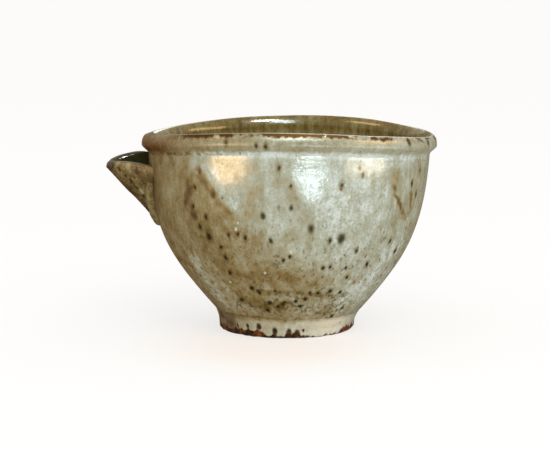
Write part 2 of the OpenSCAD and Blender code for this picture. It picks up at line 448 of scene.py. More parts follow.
def coil_share(g):
    """How thick the bead is at g, as a share of its full thickness."""
    return (0.15 + 0.85 * min(1.0, abs(g) / 0.6)) * (1 - 0.6 * abs(g) ** 8)


def seam_at(g):
    """Middle of the bead where the spout meets the wall at g: off the wall, sunk in the spout, in mm."""
    lip = lip_place(g)
    down = (KEEL_ROOT + Vector((0, KEEL_HALF * g, 0)) - lip).normalized()
    met, place, normal, face = blank.ray_cast(lip * MM, down)
    outward = (lip_place(g + LIP_STEP) - lip_place(g - LIP_STEP)).cross(down).normalized()
    move = normal * COIL_PROUD - outward * (COIL_R - COIL_SHOWS)
    return tuple(place / MM + move * coil_share(g))


seam_places = [seam_at(g) for g in SEAM_STATIONS]
spout_coil = draw_line("spout_coil", seam_places, steps=8)
spout_coil.data.bevel_depth = COIL_R * MM
spout_coil.data.bevel_resolution = 6
spout_coil.data.use_fill_caps = True
for point, g in zip(spout_coil.data.splines[0].bezier_points, SEAM_STATIONS):
    point.radius = coil_share(g)
make_mesh(spout_coil)
close_up(spout_coil)
hand_marks(spout_coil, size=5, depth=1.0)
# Each vertex notes how far it faces the wall, for painted shade on that side of the bead.
note(spout_coil, "groove", [max(0.0, v.normal.x) for v in spout_coil.data.vertices])
print("spout coil:", len(spout_coil.data.polygons), "faces")

# %% [markdown]
# The pot stands on its foot ring. A flattened torus could be a start, but the flat tread and the leaning
# inner side want a section of their own: a rounded rectangle, spun round the ring's own axis, which
# stands a little off the bowl's.

# %% The foot ring
FOOT_W, FOOT_LEAN, FOOT_EDGE = 6.5, 1.0, 1.0
tread_in, bend = FOOT_R - FOOT_W, FOOT_EDGE * (1 - ROUND)
foot_section = [
    *straight((BASE_R, 0, FOOT_H)),
    ((FOOT_R, 0, FOOT_EDGE), (BASE_R, 0, FOOT_H), (FOOT_R, 0, bend)),
    ((FOOT_R - FOOT_EDGE, 0, 0), (FOOT_R - bend, 0, 0), (FOOT_R - FOOT_EDGE - 1, 0, 0)),
    ((tread_in + FOOT_EDGE, 0, 0), (tread_in + FOOT_EDGE + 1, 0, 0), (tread_in + bend, 0, 0)),
    ((tread_in, 0, FOOT_EDGE), (tread_in, 0, bend), (tread_in - FOOT_LEAN, 0, FOOT_H)),
    *straight((tread_in - FOOT_LEAN, 0, FOOT_H)),
]
foot_ring = throw("foot_ring", foot_section, steps=8, turns=160, closed=True)
hand_marks(foot_ring, size=6, depth=0.5)
hand_marks(foot_ring, size=2, depth=0.35)
print("foot ring:", len(foot_ring.data.polygons), "faces")

# %% [markdown]
# The coil over the foot's seam is smeared out both ways: down the ring, round the ring's axis, and up
# the belly, round the bowl's. One spin has only one axis, so the spun section is then moved over a little
# more with each higher row.

# %% The foot's coil
COIL_LOW, COIL_HIGH, COIL_BURIED, COIL_PULL = 2.4, 9.6, 0.25, 2.0
RING_R, RING_SWELL, BELLY_SWELL = FOOT_R + 0.1, 0.45, 0.1
root_r = BASE_R - COIL_PULL
belly_r = BASE_R + (COIL_HIGH - FOOT_H) / math.tan(BELLY_ANGLE)
coil_section = [
    (
        (RING_R - COIL_BURIED, 0, COIL_LOW),
        (root_r, 0, COIL_LOW),
        (RING_R + RING_SWELL, 0, COIL_LOW + COIL_PULL),
    ),
    (
        (belly_r - COIL_BURIED, 0, COIL_HIGH),
        (belly_r - COIL_PULL - 2 * BELLY_SWELL, 0, COIL_HIGH - COIL_PULL - BELLY_SWELL),
        (BASE_R, 0, COIL_HIGH - COIL_PULL),
    ),
    *straight((root_r, 0, FOOT_H)),
]
foot_coil = throw("foot_coil", coil_section, steps=12, turns=160, closed=True)
ROWS = 12
row_h = (COIL_HIGH - COIL_LOW) / ROWS
with editing(foot_coil):
    for row in range(ROWS):
        choose(foot_coil, lambda v: v.co.z > (COIL_LOW + (row + 0.5) * row_h) * MM)
        bpy.ops.transform.translate(value=(BOWL_AXIS / ROWS * MM, 0, 0))
hand_marks(foot_coil, size=8, depth=0.3)
bpy.data.objects.remove(blank)
print("foot coil:", len(foot_coil.data.polygons), "faces")

# %% [markdown]
# Fired clay has no hard facets. More and smaller faces could hide them, but smooth shading does it with
# the faces that are there. The angle keeps the few true edges, such as the tread of the foot, crisp.

# %% Smooth skins
TRUE_EDGE = math.radians(50)
PIECES = {
    "bowl": bowl,
    "spout": spout,
    "spout_coil": spout_coil,
    "foot_ring": foot_ring,
    "foot_coil": foot_coil,
}
for piece in PIECES.values():
    pick(piece)
    bpy.ops.object.shade_smooth_by_angle(angle=TRUE_EDGE)
print("triangles:", {n: sum(len(f.vertices) - 2 for f in p.data.polygons) for n, p in PIECES.items()})

# %% [markdown]
# The finish is an ash glaze over iron-bearing clay. It could be painted on an image, but then it would
# belong to one view. Here it is worked out from the place on the piece, in millimetres. One small class
# wraps a socket, so that the sums read as sums and every other node is made by one method.

# %% A field over the surface
class Field:
    """A socket whose value varies over a surface. Arithmetic on fields adds Math nodes."""

    def __init__(self, tree, socket=None):
        self.tree, self.socket = tree, socket

    def node(self, kind, settings, sockets, out=0):
        """Adds a node of any kind: its settings are set first, then its sockets are set or linked."""
        made = self.tree.nodes.new(kind)
        for name, value in settings.items():
            if name == "stops":
                ends = made.color_ramp.elements
                ends[0].position, ends[0].color = value[0]
                ends[1].position, ends[1].color = value[-1]
                for place, colour in value[1:-1]:
                    ends.new(place).color = colour
            else:
                setattr(made, name, value)
        for name, value in sockets.items():
            if isinstance(value, Field):
                value.into(made, name)
            else:
                made.inputs[name].default_value = value
        return Field(self.tree, made.outputs[out])

    def into(self, node, name):
        """Links this field to a socket of a node."""
        self.tree.links.new(self.socket, node.inputs[name])

    def ramp(self, stops):
        """Colours along this field: pairs of a place from 0 to 1 and a colour."""
        return self.node("ShaderNodeValToRGB", {"stops": stops}, {0: self})

    def math(self, operation, first, second=0.0):
        return self.node("ShaderNodeMath", {"operation": operation}, {0: first, 1: second})

    def __add__(self, other):
        return self.math("ADD", self, other)

    def __sub__(self, other):
        return self.math("SUBTRACT", self, other)

    def __mul__(self, other):
        return self.math("MULTIPLY", self, other)

    def __rsub__(self, other):
        return self.math("SUBTRACT", other, self)

    __radd__, __rmul__ = __add__, __mul__

    def least(self, other):
        return self.math("MINIMUM", self, other)

    def most(self, other):
        return self.math("MAXIMUM", self, other)

    def step(self, low, high):
        """0 at low, 1 at high, soft between. Low may be the larger."""
        return self.node(
            "ShaderNodeMapRange",
            {"interpolation_type": "SMOOTHSTEP"},
            {"Value": self, "From Min": low, "From Max": high},
        )

    def vector(self, operation, *others, out=0):
        sockets = dict(enumerate((self, *others)))
        return self.node("ShaderNodeVectorMath", {"operation": operation}, sockets, out)

    def times(self, factor):
        """A vector made longer or shorter."""
        return self.node("ShaderNodeVectorMath", {"operation": "SCALE"}, {0: self, "Scale": factor})

    def paint(self, colour, mask, blend="MIX"):
        """This colour with another one laid over it where the mask is 1."""
        settings = {"data_type": "RGBA", "blend_type": blend}
        return self.node("ShaderNodeMix", settings, {0: mask, 6: self, 7: colour}, 2)


def shade(red, green, blue):
    """A colour as a paint chart gives it, 0 to 255, made linear."""
    parts = [c / 255 for c in (red, green, blue)]
    return (*[p / 12.92 if p <= 0.04045 else ((p + 0.055) / 1.055) ** 2.4 for p in parts], 1.0)


print("field class ready")

# %% [markdown]
# Marks that the real glaze has are put where they are seen. Each could be measured on the piece, but a
# ray does that work: a place in the image is looked up on the clay by sending a ray through it. That
# gives each mark one place on the piece, and it stays there from every side.

# %% Looking marks up on the clay
FRONT_PIXEL = (290, 230)


def touch(piece, pixel):
    """Place on a piece that is seen at a pixel, in mm."""
    met, place, normal, face = piece.ray_cast(CAMERA_PLACE, sight_line(pixel))
    if not met:
        raise ValueError(f"no {piece.name} at {pixel}")
    return place / MM


def turn_of(place):
    """Turn round the bowl's axis in degrees: 0 towards the camera, -90 at the spout."""
    return math.degrees(math.atan2(place.x - BOWL_AXIS, -place.y))


print("front of the bowl:", [round(c, 1) for c in touch(bowl, FRONT_PIXEL)])

# %% [markdown]
# The same sums serve every glazed piece: a place in mm, noise of a given size, and a place that noise
# has moved a little, so that whatever is drawn there gets a fired edge and not a ruled one.

# %% Places and noise
def start(name):
    """A new material. Gives it with its shader and the place on the piece in mm."""
    material = bpy.data.materials.new(name)
    material.use_nodes = True
    tree = material.node_tree
    shader = tree.nodes["Principled BSDF"]
    place = Field(tree).node("ShaderNodeTexCoord", {}, {}, "Object").times(1 / MM)
    return material, shader, place


def noise(place, size, detail=3.0, rough=0.55, out="Fac"):
    """Cloudy noise whose clouds are about size mm."""
    sockets = {"Vector": place, "Scale": 1 / size, "Detail": detail, "Roughness": rough}
    return place.node("ShaderNodeTexNoise", {}, sockets, out)


def wander(place, size, reach):
    """The place moved about by noise, so that a drawn shape gets a fired edge."""
    push = noise(place, size, out="Color").vector("SUBTRACT", (0.5, 0.5, 0.5))
    return place.vector("ADD", push.times(2 * reach))


def tall(place, squeeze):
    """The place squeezed in height, so that what is drawn there comes out tall."""
    return place.vector("MULTIPLY", (1, 1, squeeze))


def split(place):
    """The three parts of a place."""
    return [place.node("ShaderNodeSeparateXYZ", {}, {0: place}, i) for i in range(3)]


def turn_round(place, axis_x):
    """Turn round an upright axis in degrees: 0 towards the camera, -90 at the spout."""
    x, y = split(place)[:2]
    return place.math("ARCTAN2", x - axis_x, y * -1) * (180 / math.pi)


def along_turn(turn, stops):
    """A number that changes with the turn round the axis: pairs of degrees and number, 0 to 1."""
    greys = [((degrees + 180) / 360, (number, number, number, 1)) for degrees, number in stops]
    return ((turn + 180) * (1 / 360)).ramp(greys)


def noted(place, name):
    """The number that each vertex of the clay noted under a name."""
    return place.node("ShaderNodeAttribute", {"attribute_name": name}, {}, "Fac")


print("places and noise ready")

# %% [markdown]
# Three kinds of mark are drawn with them. A stroke is a line that a thumb or a run of glaze left. A
# spot is a dot of iron that melted through, at its own place. Specks are many and small, so they are
# drawn from a hat: each cell of a Voronoi pattern has a random number, and only some get a speck.

# %% Strokes, spots and specks
SPOT_TALL = 0.62


def stroke(place, ends):
    """Distance in mm to a line drawn through places."""
    legs = []
    for a, b in zip(ends, ends[1:]):
        reach = place.vector("SUBTRACT", a)
        along = reach.vector("DOT_PRODUCT", (b - a) / (b - a).length_squared, out="Value")
        share = along.most(0.0).least(1.0)
        foot = place.node("ShaderNodeVectorMath", {"operation": "SCALE"}, {0: b - a, "Scale": share})
        legs.append(reach.vector("DISTANCE", foot, out="Value"))
    return reduce(Field.least, legs)


def wiped(thick, place, piece, strokes, reach):
    """Glaze wiped thinner along strokes, or thicker where their depth is negative."""
    rub = noise(place, 4).step(0.28, 0.6)
    moved = wander(place, 7, reach)
    for pixels, width, depth in strokes:
        away = stroke(moved, [touch(piece, pixel) for pixel in pixels])
        thick = thick - away.step(width, 0.25 * width) * rub * depth
    return thick


def nearest(place, piece, spots):
    """Distance to the nearest spot, in sizes of that spot. Spots are pixels with sizes in mm."""
    low = tall(place, SPOT_TALL)
    away = []
    for pixel, size in spots:
        spot = touch(piece, pixel) * Vector((1, 1, SPOT_TALL))
        away.append(low.vector("DISTANCE", spot, out="Value") * (1 / size))
    return reduce(Field.least, away)


def specks(place, cell, size, kept):
    """Mask of random specks up to so many mm, one to a cell, in a share of the cells."""
    sockets = {"Vector": tall(place, SPOT_TALL), "Scale": 1 / cell}
    away = place.node("ShaderNodeTexVoronoi", {}, sockets, "Distance") * cell
    hat = place.node("ShaderNodeTexVoronoi", {}, sockets, "Color")
    ticket = place.node("ShaderNodeSeparateColor", {}, {0: hat}, 0)
    bulk = place.node("ShaderNodeSeparateColor", {}, {0: hat}, 1)
    drawn_out = (ticket + kept).step(1.0, 1.02)
    return ((bulk * 0.7 + 0.4) * size - away).step(0, 0.8 * size) * drawn_out


print("marks ready")

# %% [markdown]
# An ash glaze changes colour with its thickness: iron brown where it is thinnest, then olive, tan and
# grey-green, and milky where it is thickest. Each colour could have a mask of its own, but one cause
# explains them all, so a finish is one number, the thickness, and one ramp of colours. The thickness
# swings from cloud to cloud, from run to run and from grain to grain.

# %% What an ash glaze does
THICKNESS = [
    (0.00, shade(50, 29, 8)),
    (0.18, shade(86, 66, 25)),
    (0.34, shade(116, 97, 51)),
    (0.50, shade(140, 126, 86)),
    (0.66, shade(158, 155, 129)),
    (0.82, shade(177, 182, 165)),
    (1.00, shade(208, 217, 211)),
]
IRON, OLIVE, RUST, PALE = shade(34, 20, 2), shade(64, 55, 8), shade(124, 54, 10), shade(230, 228, 212)
GLASS_IOR = 1.34


def cloudy(place):
    """Swing of the glaze's thickness about 0."""
    return (
        (noise(place, 11, detail=4) - 0.5) * 0.40
        + (noise(tall(place, 0.3), 2.4, detail=4) - 0.5) * 0.42
        + (noise(place, 1.0, detail=3, rough=0.7) - 0.5) * 0.46
    )


def peel(place):
    """Relief of a melted skin in mm: soft waves, and the fine pits of an orange's peel."""
    rings = place.vector("MULTIPLY", (0.03, 0.03, 1))
    return noise(place, 6, 2) * 0.07 + noise(place, 1.3, 2) * 0.04 + noise(rings, 4.0, 2) * 0.03


def skin(shader, place, colour, rough, relief, lustre=None):
    """Joins colour, roughness, a relief in mm and the lustre of bare iron to a glassy shader."""
    bump = place.node("ShaderNodeBump", {}, {"Strength": 1.0, "Distance": MM, "Height": relief})
    fields = {"Base Color": colour, "Roughness": rough, "Normal": bump, "Metallic": lustre}
    for name, field in fields.items():
        if field:
            field.into(shader, name)
    shader.inputs["IOR"].default_value = GLASS_IOR


print("glaze ready")

# %% [markdown]
# On the bowl a veil of thick glaze covers the upper wall and the right, and runs thin and brown round
# the spout and down the belly, along an edge that slants across the front. Just above the foot the glaze
# that ran down has gathered, and is a little thicker again. Noise alone could break the veil up, but its
# edge is the first thing that the eye finds, so its line is written down and noise only frays it.

# %% The veil on the bowl
VEIL_EDGE = [(196, 172), (212, 190), (230, 214), (262, 238), (288, 254), (312, 275), (328, 294), (342, 306)]
veil_round = [(-180, 34), (-150, 55), (-128, 82), (-64, 82)]
for pixel in VEIL_EDGE:
    edge = touch(bowl, pixel)
    veil_round.append((turn_of(edge), edge.z))
veil_round += [(52, 8), (110, 6), (150, 20), (180, 34)]
VEIL_TOP = 90.0

bowl_glaze, shader, place = start("bowl_glaze")
loose = wander(place, 2.5, 0.6)
turn = turn_round(place, BOWL_AXIS)
height = split(place)[2]
veil_z = along_turn(turn, [(degrees, z / VEIL_TOP) for degrees, z in veil_round]) * VEIL_TOP
veil = (height - veil_z + (noise(place, 9) - 0.5) * 26).step(-12, 10)
thick = veil * 0.28 + 0.50 + cloudy(place)
low_wall = height.step(64, 20)
back_fade = turn.step(172, 120)
right, left_thin_and_shaded = turn.step(30, 75) * back_fade, turn.step(-28, -62) * turn.step(-160, -120)
flank_edge_thin_and_shaded = turn.step(-56, -76) * turn.step(-150, -120)
runs = (noise(tall(place, 0.22), 1.8, detail=4) - 0.5) * turn.step(25, 60) * back_fade
mottle = (noise(tall(place, 0.7), 3.2, detail=5, rough=0.65) - 0.5) * (low_wall + 0.25)
gathered = height.step(30, 16)
# Thinner and browner on the left and towards the spout: partly thin glaze, partly painted shade.
thick = thick - right * (0.15 - low_wall * 0.05) - left_thin_and_shaded * 0.05 - flank_edge_thin_and_shaded * 0.10
thick = thick + runs * 0.5 + mottle * 0.45 + gathered * 0.10
print("veil edge:", [(round(degrees), round(z)) for degrees, z in veil_round])

# %% [markdown]
# Smears are where a thumb held the bowl in the glaze bath, and where glaze ran: a brown pocket on the
# left with a pale roll beside it, dark bands low on the belly, two drips on the right. One brown band
# under the collar on the left is painted shade. They could be left to chance, but they tell this bowl
# from the next one, so each is a stroke with a width and a depth. Along the spout's seam the glaze is
# thinner, and the groove beside the bead is darkened further with painted shade.

# %% Smears on the bowl
SMEARS = [
    ([(198, 172), (213, 190), (220, 202), (235, 217)], 2.6, 0.26),
    ([(198, 172), (190, 182), (187, 203), (193, 214)], 3.0, 0.30),
    ([(205, 185), (212, 205)], 7.0, 0.08),
    ([(198, 222), (206, 240), (220, 256), (232, 274)], 9.0, 0.16),
    ([(262, 291), (300, 293), (345, 295)], 1.8, 0.16),
    ([(244, 301), (268, 305), (290, 305)], 4.0, 0.20),
    ([(285, 276), (305, 278), (316, 282)], 6.0, 0.10),
    ([(232, 272), (258, 276)], 4.0, 0.06),
    ([(251, 172), (257, 195), (252, 212)], 6.0, 0.18),
    ([(284, 182), (296, 204), (308, 222)], 4.2, 0.18),
    ([(395, 187), (400, 203), (405, 218)], 1.7, 0.42),
    ([(411, 193), (410, 211), (406, 219)], 1.6, 0.34),
    ([(206, 168), (218, 184), (230, 203), (238, 211)], 3.4, -0.16),
    ([(268, 226), (286, 230)], 5.0, -0.06),
    ([(318, 168), (326, 190), (338, 215), (350, 245)], 9.0, -0.08),
    ([(366, 186), (382, 192)], 6.0, -0.14),
    # Painted shade under the collar on the left.
    ([(158, 158), (180, 158), (204, 163)], 6.0, 0.14),
    ([(268, 262), (284, 266)], 5.0, -0.12),
    ([(296, 308), (322, 304)], 4.0, -0.14),
    ([(345, 158), (385, 162), (425, 160)], 4.0, -0.12),
    ([(338, 306), (354, 292), (374, 272), (400, 244)], 7.0, -0.14),
    ([(222, 284), (236, 296), (246, 306)], 2.2, -0.14),
    ([(196, 262), (212, 284), (228, 304)], 7.0, -0.22),
    ([(322, 198), (338, 208), (356, 212)], 9.0, -0.10),
    ([(268, 292), (292, 308), (330, 314)], 5.0, -0.08),
    ([(404, 226), (414, 214), (420, 200)], 5.0, -0.10),
    ([(222, 218), (240, 234), (256, 236)], 5.0, 0.14),
    ([(290, 236), (305, 238)], 6.0, 0.10),
    ([(396, 176), (400, 192)], 4.0, 0.16),
    ([(240, 294), (256, 296)], 4.0, 0.14),
    ([(350, 234), (352, 252)], 4.0, 0.08),
    ([(344, 279), (356, 281)], 4.0, 0.20),
]
thick = wiped(thick, place, bowl, SMEARS, 2.0)
# Thinner glaze near the spout's seam; the narrow dark line in the groove beside the bead is painted shade.
seam = stroke(loose, [Vector(p) for p in seam_places[::2]])
thick = thick - seam.step(16, 3) * 0.12 - seam.step(4.4, 2.6) * 0.30
print("smears:", len(SMEARS))

# %% [markdown]
# On the collar the glaze breaks brown, because it ran off the convex lip and pooled in the crease below
# it. On the left no pool formed, and a broken dark line of painted shade marks the crease under the
# collar. The inside was glazed more thinly and is darker, with runs down to the floor. Faces could be
# given materials of their own here, but the borders are soft, so the notes on the clay mix them.

# %% The collar and the inside
COLLAR_ROUND = [
    (-180, 0.55), (-110, 0.30), (-72, 0.30), (-45, 0.50), (-15, 0.62), (25, 0.72), (70, 0.70), (180, 0.55)
]
rise = noted(place, "rise")
inner = noted(place, "inside")
brink = rise + (noise(place, 2.5) - 0.5) * 1.6
collar = brink.step(CREASE_MID - 0.4, CREASE_MID + 0.8)
collar_thick = along_turn(turn, COLLAR_ROUND) + cloudy(place)
pool = brink.step(CREASE_LOW - 1.6, CREASE_MID - 1.2) * (1 - collar) * turn.step(-48, -25) * back_fade
crease_shade = brink.step(CREASE_MID - 1.6, CREASE_MID - 0.6) * (1 - collar) * turn.step(-8, -40)
crease_shade = crease_shade * noise(place, 1.4).step(0.4, 0.6)
thick = thick + (collar_thick - thick) * collar + pool * 0.16 - crease_shade * 0.30
inner_runs = (noise(tall(place, 0.15), 3.0) - 0.5) * 0.5
inner_thick = cloudy(tall(place, 0.5)) * 1.3 + inner_runs + 0.46 + rise.step(74, 78) * 0.03
thick = thick + (inner_thick - thick) * inner
print("collar from", round(CREASE_MID, 1), "mm up")

# %% [markdown]
# All the dots could come from the hat, but the larger ones are landmarks. So they are written as they are
# seen, in groups of one kind: nearly black iron, soft olive ones, rust and pale pits. The random specks
# lie thicker low on the wall and on the right, where some are drawn out into flecks. Two bands low on
# the belly are peppered with finer grains.

# %% Dots on the bowl
IRON_SPOTS = [
    ((200, 227), 0.8), ((209, 236), 1.1), ((206, 217), 0.8), ((221, 247), 0.7), ((226, 258), 0.8),
    ((245, 238), 0.8), ((230, 273), 0.6), ((252, 288), 0.8), ((260, 293), 0.6), ((242, 300), 0.8),
    ((268, 310), 0.8), ((278, 307), 0.6), ((285, 302), 0.5), ((305, 299), 0.8), ((330, 291), 0.8),
    ((318, 293), 0.7), ((340, 292), 0.6), ((342, 308), 0.6), ((332, 316), 0.7), ((330, 241), 0.75),
    ((323, 268), 0.65), ((330, 267), 0.6), ((346, 268), 0.6), ((356, 251), 0.6), ((283, 260), 0.65),
    ((290, 257), 0.55), ((342, 185), 0.8), ((412, 183), 0.7), ((416, 194), 0.7), ((395, 251), 0.8),
    ((390, 241), 0.6), ((409, 142), 0.8), ((428, 142), 0.8), ((226, 143), 0.7), ((256, 146), 0.6),
    ((266, 147), 0.7), ((279, 168), 0.7), ((367, 264), 0.7), ((291, 186), 0.5), ((238, 234), 0.5),
    ((229, 235), 0.6), ((420, 170), 0.5), ((347, 277), 0.6), ((195, 187), 0.6), ((193, 206), 0.6),
]
OLIVE_SPOTS = [
    ((311, 229), 1.4), ((341, 239), 1.8), ((360, 168), 0.9), ((363, 175), 1.1), ((291, 208), 0.9),
    ((263, 216), 1.1), ((271, 241), 0.9), ((213, 195), 1.2), ((270, 303), 1.2), ((283, 304), 1.0),
    ((296, 301), 0.9), ((300, 306), 0.8), ((258, 291), 0.9), ((275, 291), 0.7), ((310, 293), 0.8),
]
RUST_SPOTS = [((354, 282), 0.9), ((280, 277), 0.9), ((341, 189), 0.7), ((232, 314), 0.8)]
PALE_PITS = [
    ((230, 282), 0.7), ((238, 223), 0.5), ((236, 229), 0.6), ((291, 252), 0.7), ((345, 185), 0.5),
    ((349, 197), 0.7), ((265, 273), 0.6),
]
PEPPER_BANDS = [[(256, 291), (300, 293), (345, 295)], [(244, 302), (290, 306), (338, 308)]]
iron, olive, rust, pits = [
    nearest(loose, bowl, spots) for spots in (IRON_SPOTS, OLIVE_SPOTS, RUST_SPOTS, PALE_PITS)
]
thick = thick - iron.step(2.6, 1.0) * 0.14
dust = specks(loose, 0.9, 0.36, low_wall * 0.16 + 0.12)
fine_specks = specks(loose, 1.7, 0.62, low_wall * 0.32 + 0.08)
large_specks = specks(loose, 3.0, 1.0, low_wall * 0.32 + 0.06)
flecks = specks(tall(loose, 0.4), 1.6, 0.45, low_wall * 0.10 + right * 0.20 + 0.05)
bands = [stroke(loose, [touch(bowl, pixel) for pixel in pixels]) for pixels in PEPPER_BANDS]
band = bands[0].step(2.2, 0.4).most(bands[1].step(7.0, 1.0) * 0.8)
pepper = (noise(tall(loose, 0.5), 1.5, detail=3) + band * 0.13).step(0.57, 0.68) * (low_wall * 0.7 + 0.3)
print("dots:", len(IRON_SPOTS) + len(OLIVE_SPOTS) + len(RUST_SPOTS) + len(PALE_PITS))

# %% [markdown]
# The skin of the bowl joins it all: the ramp, a green tint for the inside, an orange flash on the collar
# over the spout, the dots, and a brown line where the lip bared its iron. Thin glaze is dull, thick glaze
# is glassy, so the roughness follows the thickness too. Where iron shows it has the lustre of a metal,
# which keeps its dark colour deep.

# %% The bowl's skin
FLASH, BARED, INNER_TINT = shade(108, 62, 5), shade(50, 31, 4), shade(234, 226, 182)
LIP_LINE_LOW, LIP_LINE_FULL = 77.1, 78.7
lip_run = (noise(place, 6) + turn.step(-62, -42) * turn.step(42, 25) * 0.18).step(0.50, 0.62)
ragged = rise + (noise(tall(place, 0.35), 1.6) - 0.5) * 2.4
lip_line = ragged.step(LIP_LINE_LOW, LIP_LINE_FULL) * rise.step(79.6, 79.4) * lip_run * (1 - inner)
lip_line = lip_line * turn.step(-60, -42).most(turn.step(-120, -150))
flash = collar * turn.step(-48, -62) * turn.step(-150, -110) * (1 - inner)
flash = flash * (noise(tall(place, 0.6), 3.5) + 0.2).step(0.50, 0.85) * rise.step(78, 76.5)

colour = thick.ramp(THICKNESS).paint(INNER_TINT, inner, blend="MULTIPLY")
for paint, mask in (
    (FLASH, left_thin_and_shaded * (1 - inner) * (collar * 0.16 + 0.10)),
    (FLASH, flash * 0.85),
    (OLIVE, large_specks * 0.65),
    (OLIVE, dust * 0.55),
    (OLIVE, pepper * 0.6),
    (OLIVE, flecks * 0.60),
    (OLIVE, olive.step(1.35, 0.35) * 0.95),
    (IRON, olive.step(0.7, 0.1) * 0.5),
    (OLIVE, fine_specks * 0.75),
    (RUST, rust.step(1.1, 0.4) * 0.7),
    (PALE, pits.step(1.1, 0.4) * 0.6),
    (OLIVE, iron.step(1.9, 0.8) * 0.45),
    (IRON, iron.step(1.2, 0.4) * 0.92),
    (BARED, lip_line),
):
    colour = colour.paint(paint, mask)
dull = thick.step(0.78, 0.45) * (1 - collar) * (1 - inner)
stain = (iron.step(1.3, 0.7) * 0.8).most(olive.step(1.1, 0.6) * (low_wall * 0.5 + 0.2))
lustre = (stain * (1 - collar)).most(flash * 0.85).most(lip_line * 0.85)
rough = dull * 0.40 + lustre * 0.2 + collar * (1 - inner) * 0.16 + lip_line * 0.2 + 0.13
skin(shader, place, colour, rough, peel(place), lustre)
print("bowl glaze:", len(bowl_glaze.node_tree.nodes), "nodes")

# %% [markdown]
# The spout could share the bowl's material, but its glaze is thinner: ochre and brown, darker along the
# keel, with one paler run down its side. Its trough held a pool of glaze, which is nearly black green and
# very glassy.

# %% The spout's glaze
SPOUT_SPOTS = [
    ((137, 171), 1.3), ((131, 181), 0.8), ((144, 196), 0.8), ((126, 176), 0.6), ((119, 169), 0.8),
    ((113, 165), 0.7), ((134, 177), 0.6), ((138, 188), 0.6),
]
SPOUT_SMEARS = [
    ([(129, 165), (134, 178), (142, 192)], 1.8, -0.18),
    ([(111, 164), (118, 171), (130, 185)], 3.0, 0.10),
]
POOL = shade(48, 54, 30)

spout_glaze, shader, place = start("spout_glaze")
loose = wander(place, 3, 0.8)
side = split(place)[1]
trough = noted(place, "inside")
keel = side.math("ABSOLUTE", side).step(5.0, 0.8) * (1 - trough)
thick = wiped(cloudy(place) * 1.5 + 0.29 - keel * 0.22, place, spout, SPOUT_SMEARS, 0.8)
iron = nearest(loose, spout, SPOUT_SPOTS)
thick = thick - iron.step(1.5, 0.5) * 0.24
colour = thick.ramp(THICKNESS).paint(OLIVE, specks(loose, 2.2, 0.5, 0.30) * 0.6)
colour = colour.paint(POOL, trough * 0.9)
skin(shader, place, colour, 0.40 - trough * 0.30, peel(place) + trough * noise(place, 3) * 0.25)
print("spout glaze:", len(spout_glaze.node_tree.nodes), "nodes")

# %% [markdown]
# The bead along the spout's seam breaks paler on its crown, and its side towards the wall is browner,
# which is painted shade. Its place could tell the two apart, but the bead winds round the spout, so each
# of its vertices has noted how far it faces the wall.

# %% The bead's glaze
bead_glaze, shader, place = start("bead_glaze")
groove = noted(place, "groove")
thick = cloudy(place) * 1.4 + 0.37 - groove.step(0.0, 0.7) * 0.36
colour = thick.ramp(THICKNESS).paint(OLIVE, specks(wander(place, 4, 0.9), 2.4, 0.45, 0.2) * 0.6)
skin(shader, place, colour, 0.50 - thick * 0.25, peel(place))
print("bead glaze:", len(bead_glaze.node_tree.nodes), "nodes")

# %% [markdown]
# The foot was wiped before firing, and stood on the kiln shelf. Its side holds milky glaze, which ends
# in an uneven line above bare clay that fired dark brown, with rust where it is thinnest. On the left
# hardly any glaze is left, and where the foot meets the belly the glaze is thin and olive again. Chips
# in the milky glaze bare the iron under it. Glaze and clay could be two materials that meet at a row of
# faces, but their border wanders, so one material mixes both by height and turn.

# %% The foot's finish
FOOT_RUST = [
    ((276, 330), 0.6), ((346, 327), 1.0), ((343, 329), 0.8), ((233, 316), 0.7), ((303, 331), 0.6),
]
FOOT_IRON = [
    ((238, 325), 0.7), ((248, 326), 0.8), ((259, 326), 1.2), ((275, 331), 1.1), ((275, 334), 0.9),
    ((289, 332), 1.1), ((297, 333), 1.0), ((339, 322), 0.5), ((333, 321), 0.5), ((303, 330), 0.6),
]
BARE_ROUND = [
    (-180, 0.25), (-120, 0.35), (-75, 0.34), (-55, 0.30), (-42, 0.42), (-32, 0.44), (-22, 0.40), (-16, 0.10),
    (-13, 0.10), (-11, 0.42), (-9, 0.10), (-2, 0.12), (1, 0.44), (5, 0.30), (9, 0.44), (12, 0.12), (25, 0.06),
    (48, 0.10), (58, 0.36), (75, 0.36), (100, 0.2), (180, 0.25),
]
FOOT_THICK = [
    (-180, 0.6), (-110, 0.35), (-60, 0.22), (-48, 0.26), (-42, 0.60), (-36, 0.70), (-12, 0.86), (20, 0.88),
    (50, 0.9), (70, 0.7), (180, 0.6),
]
FOOT_MILK = [
    (-180, 0.1), (-36, 0.1), (-22, 0.25), (5, 0.22), (22, 0.4), (33, 1.0), (42, 1.0), (56, 0.4), (180, 0.1)
]
BARE_TOP = 7.0
CHIP = shade(72, 42, 10)
FIRED_CLAY = [(0.35, shade(28, 15, 5)), (0.52, shade(54, 33, 15)), (0.72, shade(112, 72, 36))]


